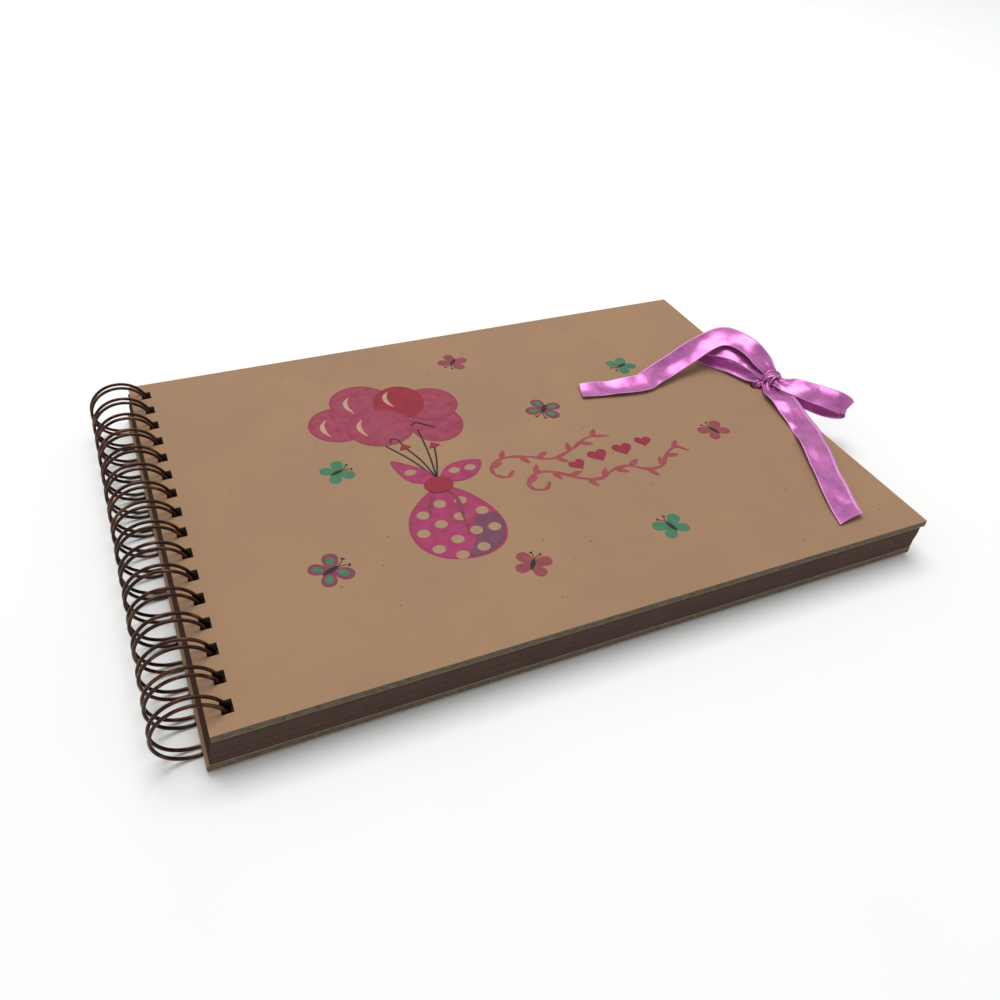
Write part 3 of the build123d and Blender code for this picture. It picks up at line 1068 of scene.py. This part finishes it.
@dataclass
class RibbonRun:
    """One run of satin ribbon, with its route in millimetres from the bow's corner point.

    The route's x is from the front cover's fore-edge, y from the album's middle, and the third
    is the height over the front cover.
    """

    name: str
    node: str
    route: tuple[Point3, ...]
    sides: tuple[Point3, ...]
    pinch: Pinch
    held: str
    rests_on: tuple[str, ...] = ("front_cover_outer_liner",)
    body: str = "front_cover"
    keep: float = 0.3
    cut_mm: float = 0.0
    seed: float = 0.0
    width_mm: float = 11.0
    thick_mm: float = 0.28
    neck: float = 0.62
    neck_mm: float = 9.0
    cup_mm: float = 0.35
    ripple_mm: float = 0.3
    pleat_mm: float = 0.75
    pleats: float = 2.5
    wave_mm: float = 11.0
    waves_across: float = 1.3
    crease_mm: float = 3.5
    creases_across: float = 3.0
    crease_high_mm: float = 0.05
    edge_share: float = 0.055
    bead_mm: float = 0.07
    bead_gap_mm: float = 0.9
    cut_reach_mm: float = 14.0
    station_mm: float = 0.35
    across: int = 22
    under_mm: float = 0.55

    def gathered(self, at: float, length: float) -> float:
        """How gathered the ribbon is, from 0 to 1, at a distance along it in millimetres."""
        from_start, from_end = self.pinch.value
        near = 0.0
        if from_start:
            near = max(near, 1 - at / self.neck_mm)
        if from_end:
            near = max(near, 1 - (length - at) / self.neck_mm)
        return smooth_step(near)

    def side_at(self, share: float) -> Vector:
        """The direction of the ribbon's width, by the share of the way along."""
        place = share * (len(self.sides) - 1)
        i = min(int(place), len(self.sides) - 2)
        t = smooth_step(place - i)
        return Vector(self.sides[i]) * (1 - t) + Vector(self.sides[i + 1]) * t

    def build(self) -> tuple[bpy.types.Object, float]:
        """Weave the run as a thin closed band.

        Returns:
            The piece and its length, in metres.
        """
        line = evenly(through([Vector(p) for p in self.route], 16), self.station_mm)
        length = sum((b - a).length for a, b in zip(line, line[1:]))
        corner, points, uvs = bow_corner(), [], []
        last = len(line) - 1
        for i, place in enumerate(line):
            ahead = (line[min(i + 1, last)] - line[max(i - 1, 0)]).normalized()
            side = self.side_at(i / last)
            side = (side - ahead * side.dot(ahead)).normalized()
            up = ahead.cross(side)
            at = length * i / last
            gather = self.gathered(at, length)
            width = self.width_mm * (1 - gather * (1 - self.neck))
            slant = self.cut_mm * smooth_step(1 - (length - at) / self.cut_reach_mm)
            top, under = [], []
            for k in range(self.across + 1):
                u = k / self.across - 0.5
                edge = smooth_step((abs(u) - 0.5 + self.edge_share) / self.edge_share)
                bead = self.bead_mm * edge * math.sin(2 * math.pi * at / self.bead_gap_mm)
                wave = noise.noise(Vector((at / self.wave_mm, u * self.waves_across,
                                           self.seed)))
                fine = noise.noise(Vector((at / self.crease_mm, u * self.creases_across,
                                           self.seed + 7.0)))
                pleat = math.cos(2 * math.pi * self.pleats * u + self.seed)
                lift = (-self.cup_mm * 4 * u * u + self.ripple_mm * wave
                        + self.crease_high_mm * fine + gather * self.pleat_mm * pleat)
                spread = u * width + math.copysign(abs(bead), u)
                middle = place + side * spread + ahead * (slant * u * 2) + up * lift
                half = self.thick_mm / 2 * (1 + 0.5 * edge)
                top.append(middle + up * half)
                under.append(middle - up * half)
                uvs.append(((u + 0.5) * self.width_mm * MM, at * MM))
            uvs.extend(reversed(uvs[-(self.across + 1):]))
            points.extend(corner + p * MM for p in top + under[::-1])
        ring = 2 * (self.across + 1)
        faces = []
        for i in range(last):
            for k in range(ring):
                a, b = i * ring + k, i * ring + (k + 1) % ring
                faces.append([a, b, b + ring, a + ring])
        faces.append(list(range(ring))[::-1])
        faces.append([last * ring + k for k in range(ring)])
        obj = new_object(self.name, points, faces, uvs=uvs)
        bpy.context.view_layer.update()
        Satin().dress(obj)
        return obj, length * MM

    def fit(self) -> bpy.types.Object:
        """Build the run, fix it to its body, hide the CAD node that it stands for, and log its
        length.
        """
        obj, length = self.build()
        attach(obj, self.body)
        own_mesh(obj)
        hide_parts(self.node)
        LOG.info("%s: %.1f mm of ribbon", self.name, length / MM)
        return obj


@dataclass
class RibbonBow:
    """The ribbon that ties the album shut: two straps, a knot, two loops and two tails."""

    knot: Point3 = (1.5, 6.0, 3.5)
    knot_half: Point3 = (3.6, 4.2, 3.0)
    core_round: float = 0.86
    core_long: float = 1.02
    core_blunt: float = 0.55
    core_pleat: float = 0.09
    weld_mm: float = 0.01
    rows: int = 26
    spokes: int = 48
    keep: float = 0.3
    wrap_turns: float = 1.04
    wrap_from: float = -1.9
    wrap_tall: float = 0.97
    far: float = 10.8
    near: float = 1.2

    def runs(self) -> tuple[RibbonRun, ...]:
        """The loops and tails, each from the knot outwards."""
        far, near = self.far, self.near
        return (
            RibbonRun("bow_far_loop", "ribbon_far_loop",
                      ((0.8, far - 2.6, 4.4), (-1, far, 5.4), (-3, far + 7, 8.6),
                       (-9, far + 17, 10.2), (-15, far + 25, 9.2), (-18.6, far + 29.5, 6.2),
                       (-16, far + 25.5, 3.6), (-9, far + 14, 3.2), (-3, far, 2.6),
                       (0.2, far - 3, 2.6)),
                      ((1, 0, 0), (0.75, 0.35, 0.5), (0.7, 0.4, 0.55), (0.75, 0.4, 0.45),
                       (0.9, 0.2, 0.2), (1, 0, 0)), Pinch.BOTH, "folded", seed=1.3,
                      ripple_mm=0.8),
            RibbonRun("bow_near_loop", "ribbon_near_loop",
                      ((1.6, near + 2.4, 4.6), (2.5, near - 0.2, 5), (4.5, near - 6, 6.2),
                       (12, near - 16, 5.8), (20, near - 25, 4.6), (22.8, near - 28.5, 2.4),
                       (20, near - 25, 0.2), (12, near - 15, 0), (4.5, near - 6, 1.2),
                       (3.5, near - 0.2, 1.8), (2.4, near + 2.4, 2.8)),
                      ((1, 0, 0), (0.85, 0.25, 0.4), (0.75, 0.4, 0.5), (0.75, 0.4, 0.5),
                       (0.9, 0.2, 0.3), (1, 0, 0)), Pinch.BOTH, "folded", seed=4.1,
                      ripple_mm=1.0),
            RibbonRun("bow_far_tail", "ribbon_far_tail",
                      ((2.0, far - 3, 5.2), (1, far, 7.5), (-2, far + 12, 13.3),
                       (-9, far + 23, 15.0), (-20, far + 26, 11.6), (-36, far + 23, 7),
                       (-54, far + 18, 3.6), (-66, far + 15.5, 2.4), (-94.5, far + 20.5, 1.4)),
                      ((1, 0, 0), (0.85, 0.3, 0.3), (0.5, 0.65, 0.5), (0.1, 0.85, 0.5),
                       (0, 0.95, 0.3), (0, 1, 0.08), (0, 1, 0)), Pinch.START, "draped",
                      cut_mm=-0.8, seed=6.6, ripple_mm=1.1),
            RibbonRun("bow_near_tail", "ribbon_near_tail",
                      ((-0.4, near + 3, 3.4), (-2, near, 3), (-4.5, near - 16, 3.4),
                       (-7.5, near - 32, 1.8), (-13, near - 46, 3.4), (-21, near - 66, 2.2),
                       (-28.5, near - 84, 1.7), (-32, near - 95, 1.7)),
                      ((1, 0, 0), (1, -0.15, 0.15), (1, -0.3, 0), (1, -0.45, 0.1)), Pinch.START,
                      "draped", cut_mm=-2.6, seed=9.2, width_mm=12.0, ripple_mm=1.1),
        )

    def straps(self) -> tuple[RibbonRun, ...]:
        """The ribbon's two ends, from their holes to the knot."""
        low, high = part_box("front_cover_outer_liner")
        back_low, back_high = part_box("back_cover_outer_liner")
        shift = (back_high.x - high.x) / MM
        floor = (back_low.z - high.z) / MM
        return (
            RibbonRun("bow_front_strap", "ribbon_front_strap",
                      ((-6.5, 8.0, -2.6), (-6.5, 8.0, -0.4), (-6.0, 7.9, 1.1), (-4.2, 7.6, 1.9),
                       (-2.2, 7.2, 2.4), (0.6, 6.6, 3.0)),
                      ((0, 1, 0), (0, 1, 0)), Pinch.BOTH, "gathered", seed=2.7, neck=0.42,
                      neck_mm=40.0, cup_mm=0.0, ripple_mm=0.1, pleat_mm=0.8),
            RibbonRun("bow_back_strap", "ribbon_back_strap",
                      ((shift - 6.5, 8.0, floor + 0.6), (shift - 6.3, 8.0, floor - 0.35),
                       (shift - 4.0, 8.0, floor - 0.55), (shift + 0.2, 8.0, floor - 0.5),
                       (shift + 2.2, 8.0, floor + 1.2),
                       (-1.5 + 0.5 * shift + 4.1, 8.0, 0.45 * floor),
                       (1.8, 7.8, -1.5), (1.9, 7.2, 1.2), (1.7, 6.8, 3.4)),
                      ((0, 1, 0), (0, 1, 0)), Pinch.NEITHER, "stretched",
                      ("back_cover_outer_liner",), body="back_cover", keep=0.1, seed=5.5,
                      cup_mm=0.15, ripple_mm=0.12),
        )

    def wad_core(self) -> None:
        """The knot's inside: a tight wad of pleated ribbon."""
        corner = bow_corner()
        x, y, z = self.knot
        wide, deep, tall = self.knot_half
        points, faces, uvs = [], [], []
        for i in range(self.rows + 1):
            t = math.pi * i / self.rows
            for a in ring_of(self.spokes):
                pleat = 1 + self.core_pleat * math.sin(6 * a + 1.5 * math.cos(t)) * math.sin(t)
                bulge = max(math.sin(t), 0.0) ** self.core_blunt * pleat
                points.append(
                    corner + Vector((x + wide * self.core_round * bulge * math.cos(a),
                                     y - deep * self.core_long * math.cos(t),
                                     z + tall * self.core_round * bulge * math.sin(a))) * MM)
                uvs.append((0.005 + 0.003 * math.sin(a), deep * t * MM))
        for i in range(self.rows):
            for k in range(self.spokes):
                a, b = i * self.spokes + k, i * self.spokes + (k + 1) % self.spokes
                faces.append([a, a + self.spokes, b + self.spokes, b])
        core = new_object("bow_knot_core", points, faces, uvs=uvs)
        bpy.context.view_layer.update()
        weld = core.modifiers.new("weld", "WELD")
        weld.merge_threshold = self.weld_mm * MM
        Satin().dress(core)
        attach(core, "front_cover")
        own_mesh(core)

    def wrap(self, name: str, lean: float, grow: float, neck: float, seed: float) -> None:
        """A band of ribbon, wrapped once round the knot.

        Args:
            name: The piece's name.
            lean: How far it slants, against the knot's width.
            grow: Its size against the knot's.
            neck: How narrow it is gathered.
            seed: The seed of its ripples.
        """
        x, y, z = self.knot
        wide, _, tall = self.knot_half
        steps, route = 12, []
        for k in range(steps + 1):
            a = 2 * math.pi * (k / steps) * self.wrap_turns + self.wrap_from
            route.append((x + wide * grow * math.cos(a), y + lean * wide * math.cos(a),
                          z + tall * grow * self.wrap_tall * math.sin(a)))
        RibbonRun(name, "ribbon_knot", tuple(route), ((-lean, 1, 0), (-lean, 1, 0)), Pinch.BOTH,
                  "folded", seed=seed, neck=neck, neck_mm=400.0, cup_mm=0.5, ripple_mm=0.15,
                  pleat_mm=0.45).fit()

    def build(self) -> None:
        """Fit every run and tie the knot."""
        for run in (*self.runs(), *self.straps()):
            run.fit()
        self.wad_core()
        self.wrap("bow_knot_band", 0.16, 1.0, 0.56, 3.3)
        self.wrap("bow_knot_cross", -0.5, 1.1, 0.5, 8.8)


# ---------------------------------------------------------------- the album


def main() -> None:
    """Build the studio and dress the album, one sub-assembly at a time."""
    logging.basicConfig(level=logging.INFO, format="%(name)s: %(message)s")
    Studio().build()
    LOG.info("studio set up")
    Covers().dress()
    LOG.info("covers dressed")
    LeafBlock().dress()
    LOG.info("leaves dressed")
    WireBinding().dress()
    LOG.info("wire dressed")
    CoverPrint().build()
    LOG.info("cover printed")
    RibbonBow().build()
    LOG.info("ribbon tied")


if __name__ == "__main__":
    main()
